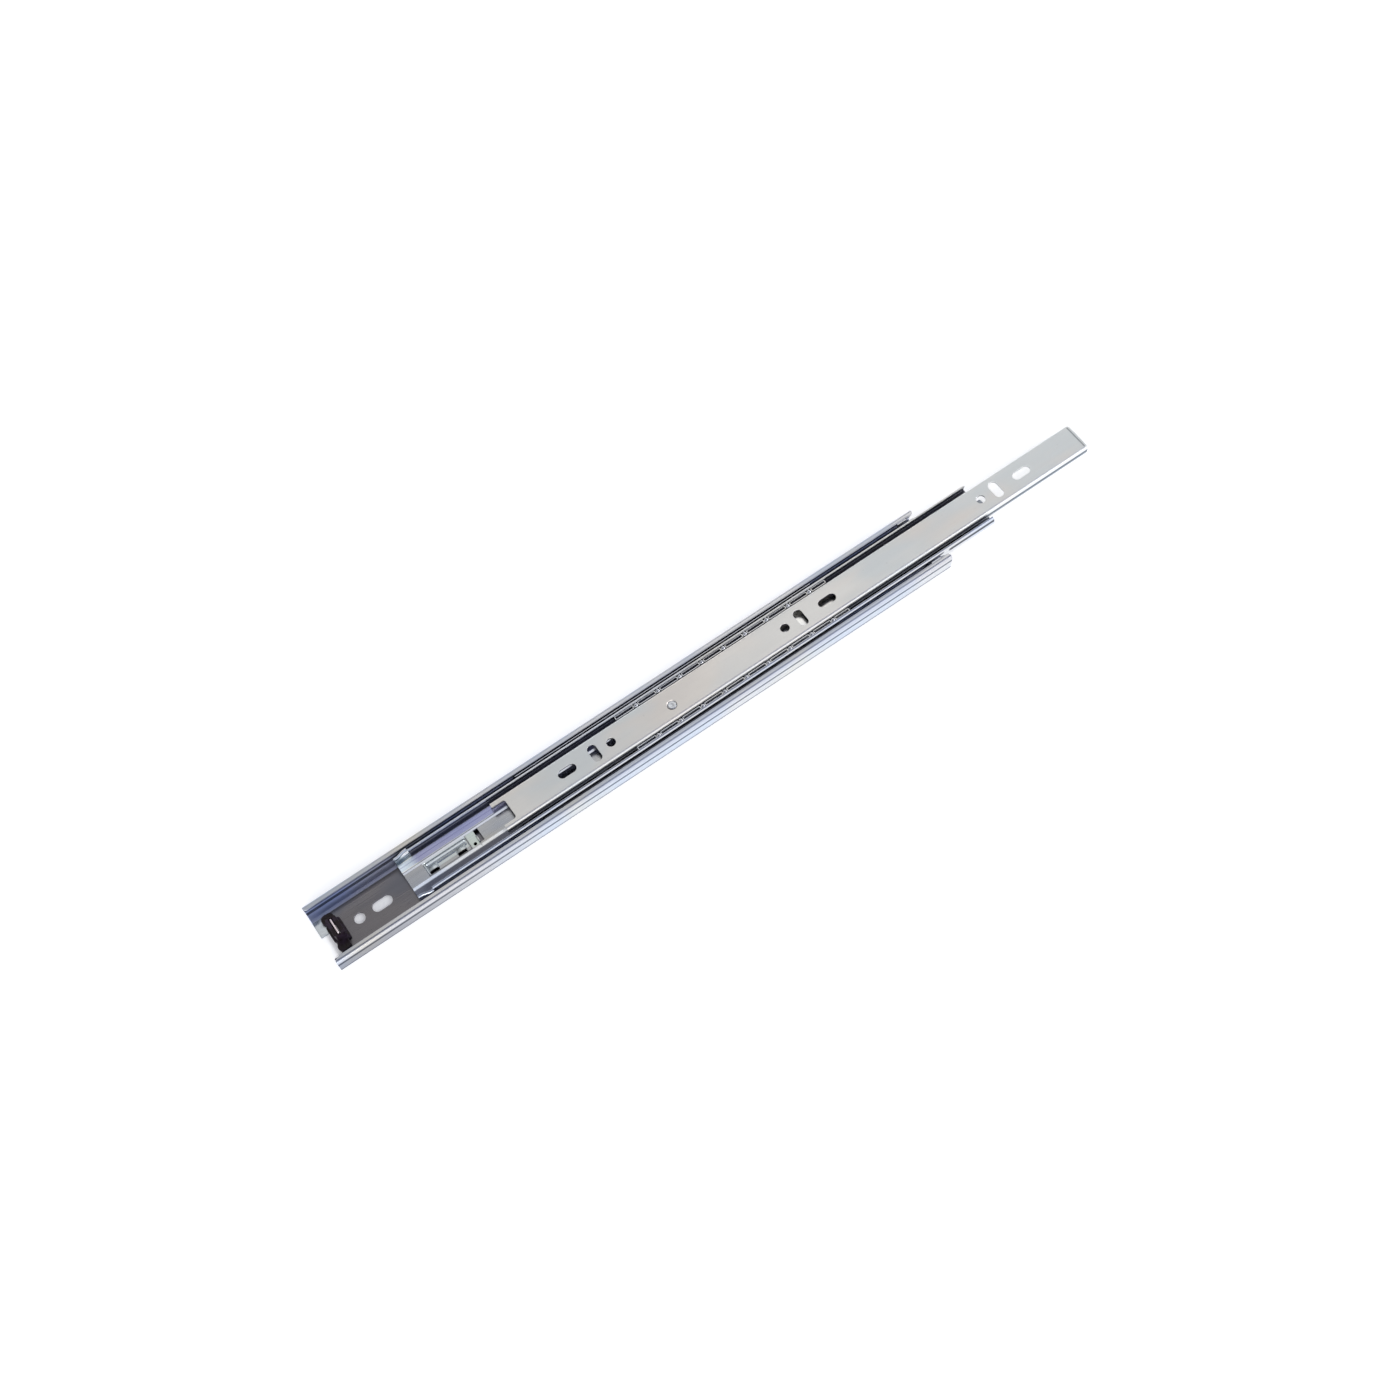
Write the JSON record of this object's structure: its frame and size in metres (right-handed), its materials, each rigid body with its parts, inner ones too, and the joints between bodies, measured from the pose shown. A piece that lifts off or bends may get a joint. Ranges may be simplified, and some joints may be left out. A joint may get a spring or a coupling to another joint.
{
  "type": "ball-bearing drawer slide",
  "caption": "Telescoping drawer slide: nested rolled-steel channel members run on caged balls, with a rear bumper and a release lever.",
  "frame": {"origin": "on the back face of the outer member, on its centre line, half way along its 450 mm length", "axes": "+X along the slide from its rear end to its front end, the way the drawer opens; +Z from the cabinet side towards the drawer; +Y across the width"},
  "size_m": [0.5666, 0.045, 0.0127],
  "materials": {
    "outer_zinc": "bright zinc plating, slightly blue, satin from rolling",
    "intermediate_zinc": "bright zinc plating, satin from rolling",
    "inner_zinc": "bright zinc plating with faint blue and straw tints, satin",
    "retainer_steel": "thin bright plated strip",
    "ball_steel": "polished hardened steel",
    "rivet_steel": "bright zinc plating",
    "bumper_rubber": "matt moulded rubber, nearly black",
    "lever_plastic": "moulded plastic, black"
  },
  "bodies": {
    "cabinet_side": {"outer_member": "outer_zinc", "rear_bumper": "bumper_rubber"},
    "intermediate": {"intermediate_member": "intermediate_zinc"},
    "drawer_side": {"inner_member": "inner_zinc", "lever_rivet": "rivet_steel"},
    "lever": {"release_lever": "lever_plastic"},
    "outer_cage": {"outer_ball_retainer": "retainer_steel", "outer_ball_a01": "ball_steel", "outer_ball_a02": "ball_steel", "outer_ball_a03": "ball_steel", "outer_ball_a04": "ball_steel", "outer_ball_a05": "ball_steel", "outer_ball_a06": "ball_steel", "outer_ball_a07": "ball_steel", "outer_ball_a08": "ball_steel", "outer_ball_a09": "ball_steel", "outer_ball_a10": "ball_steel", "outer_ball_a11": "ball_steel", "outer_ball_a12": "ball_steel", "outer_ball_b01": "ball_steel", "outer_ball_b02": "ball_steel", "outer_ball_b03": "ball_steel", "outer_ball_b04": "ball_steel", "outer_ball_b05": "ball_steel", "outer_ball_b06": "ball_steel", "outer_ball_b07": "ball_steel", "outer_ball_b08": "ball_steel", "outer_ball_b09": "ball_steel", "outer_ball_b10": "ball_steel", "outer_ball_b11": "ball_steel", "outer_ball_b12": "ball_steel"},
    "inner_cage": {"inner_ball_retainer": "retainer_steel", "inner_ball_a01": "ball_steel", "inner_ball_a02": "ball_steel", "inner_ball_a03": "ball_steel", "inner_ball_a04": "ball_steel", "inner_ball_a05": "ball_steel", "inner_ball_a06": "ball_steel", "inner_ball_a07": "ball_steel", "inner_ball_a08": "ball_steel", "inner_ball_a09": "ball_steel", "inner_ball_b01": "ball_steel", "inner_ball_b02": "ball_steel", "inner_ball_b03": "ball_steel", "inner_ball_b04": "ball_steel", "inner_ball_b05": "ball_steel", "inner_ball_b06": "ball_steel", "inner_ball_b07": "ball_steel", "inner_ball_b08": "ball_steel", "inner_ball_b09": "ball_steel"}
  },
  "joints": [
    {"name": "intermediate_slide", "type": "slide", "parent": "cabinet_side", "child": "intermediate", "axis": [1, 0, 0], "range_m": [-0.0436, 0.13]},
    {"name": "inner_slide", "type": "slide", "parent": "intermediate", "child": "drawer_side", "axis": [1, 0, 0], "range_m": [-0.075, 0.175]},
    {"name": "outer_cage_slide", "type": "slide", "parent": "cabinet_side", "child": "outer_cage", "axis": [1, 0, 0], "range_m": [-0.0219, 0.0651]},
    {"name": "inner_cage_slide", "type": "slide", "parent": "intermediate", "child": "inner_cage", "axis": [1, 0, 0], "range_m": [-0.0376, 0.0876]},
    {"name": "lever_pivot", "type": "hinge", "parent": "drawer_side", "child": "lever", "pos_m": [0.0273, -0.0016, 0.0102], "axis": [0, 0, 1], "range_deg": [-2, 5]}
  ],
  "couplings": [
    {"joint": "outer_cage_slide", "follows": "intermediate_slide", "ratio": 0.5},
    {"joint": "inner_cage_slide", "follows": "inner_slide", "ratio": 0.5}
  ]
}
